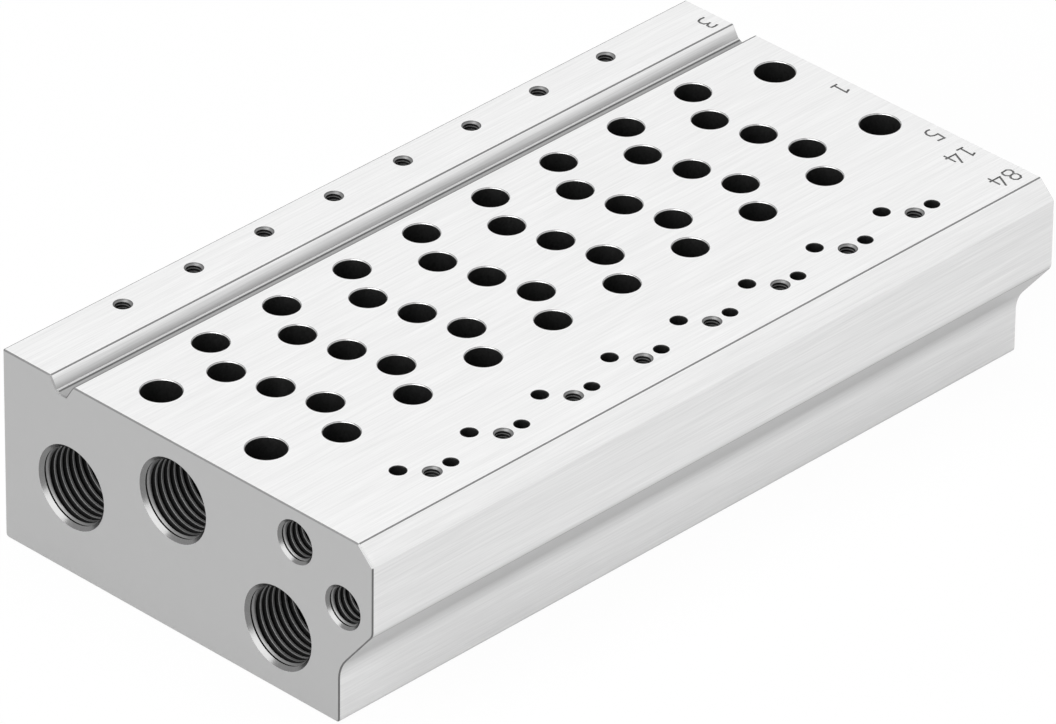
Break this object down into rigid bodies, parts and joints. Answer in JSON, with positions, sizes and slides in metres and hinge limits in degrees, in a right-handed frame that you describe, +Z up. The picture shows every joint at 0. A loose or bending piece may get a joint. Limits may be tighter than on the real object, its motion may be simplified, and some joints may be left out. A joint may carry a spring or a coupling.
{
  "type": "valve manifold rail",
  "caption": "Extruded aluminium rail with end ports, long air galleries and rows of drilled valve places on its deck.",
  "frame": {"origin": "middle of the bottom of the bounding box", "axes": "+X along the rail, away from the port end that the picture shows; +Y towards the plain back face beside the label groove; +Z up, out of the valve deck"},
  "size_m": [0.104, 0.0554, 0.0235],
  "materials": {
    "rail_aluminium": "clear anodised over a fine brushed grain along the rail"
  },
  "bodies": {
    "root": {"manifold_rail": "rail_aluminium"}
  },
  "joints": []
}
